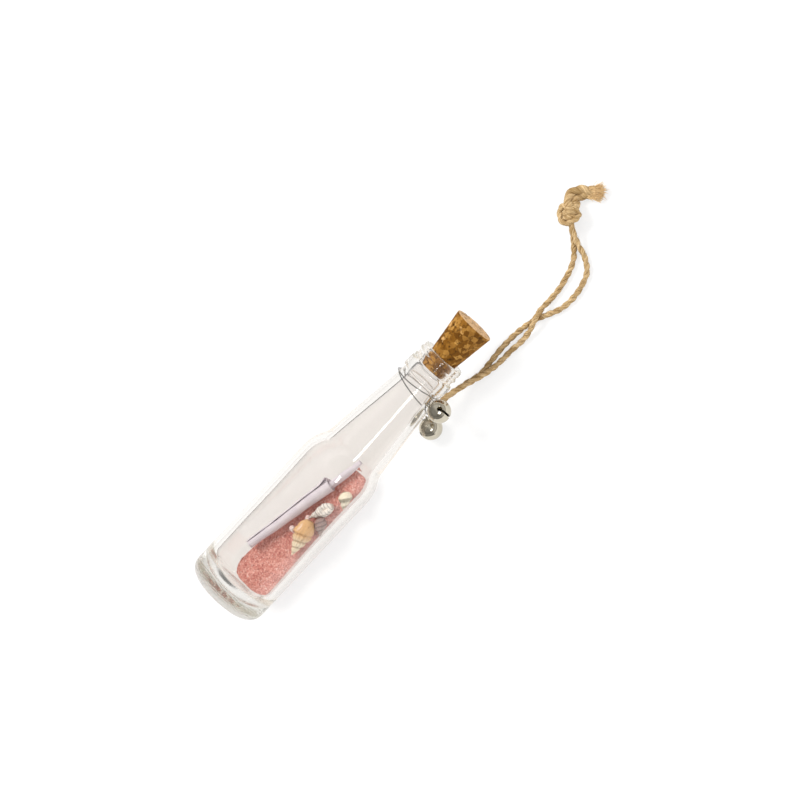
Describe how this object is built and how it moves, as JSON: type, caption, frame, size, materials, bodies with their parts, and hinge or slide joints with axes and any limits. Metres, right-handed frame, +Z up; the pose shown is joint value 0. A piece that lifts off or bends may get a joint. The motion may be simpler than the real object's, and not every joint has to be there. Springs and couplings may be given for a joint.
{
  "type": "message in a bottle",
  "caption": "Small clear glass bottle lying on its side, corked, holding tinted sand, sea shells and a rolled paper, with jingle bells and a knotted twine hanger on its neck.",
  "frame": {"origin": "on the table under the middle of the object's box, measured without the twine", "axes": "+X along the bottle from its base to its mouth, +Z up from the table, the bells on the -Y side"},
  "size_m": [0.1935, 0.034, 0.03],
  "materials": {
    "glass": "clear, smooth, with a faint grey-green edge",
    "cork": "agglomerated cork, matte",
    "sand": "loose pink grains",
    "paper": "plain paper, matte",
    "shell_tan": "ribbed sea shell, tan with a cream spire",
    "shell_purple": "ribbed sea shell, purple-grey",
    "shell_pale": "sea shell, cream with grey marks",
    "wire": "thin bright wire",
    "bell": "bright nickel plate",
    "pellet": "dark steel ball",
    "twine": "two-ply jute twine with loose fibres"
  },
  "bodies": {
    "bottle_body": {"bottle": "glass", "sand": "sand", "scroll": "paper", "shell_tan": "shell_tan", "shell_purple": "shell_purple", "shell_striped": "shell_pale", "shell_spotted": "shell_pale", "shell_chip_a": "shell_pale", "shell_chip_b": "shell_pale", "neck_wire": "wire", "twine": "twine", "twine_knot": "twine", "twine_tail_a": "twine", "twine_tail_b": "twine"},
    "cork_body": {"cork": "cork"},
    "upper_bell_body": {"bell_upper": "bell", "bell_upper_loop": "bell", "bell_upper_pellet": "pellet"},
    "lower_bell_body": {"bell_lower": "bell", "bell_lower_loop": "bell", "bell_lower_pellet": "pellet"}
  },
  "joints": [
    {"name": "cork_pull", "type": "slide", "parent": "bottle_body", "child": "cork_body", "axis": [1, 0, 0], "range_m": [0, 0.012]},
    {"name": "upper_bell_swing", "type": "hinge", "parent": "bottle_body", "child": "upper_bell_body", "pos_m": [0.03505, -0.0082, 0.01741], "axis": [-1, 0, 0], "range_deg": [0, 90]},
    {"name": "lower_bell_swing", "type": "hinge", "parent": "bottle_body", "child": "lower_bell_body", "pos_m": [0.02992, -0.006, 0.00799], "axis": [-1, 0, 0], "range_deg": [0, 60]}
  ]
}
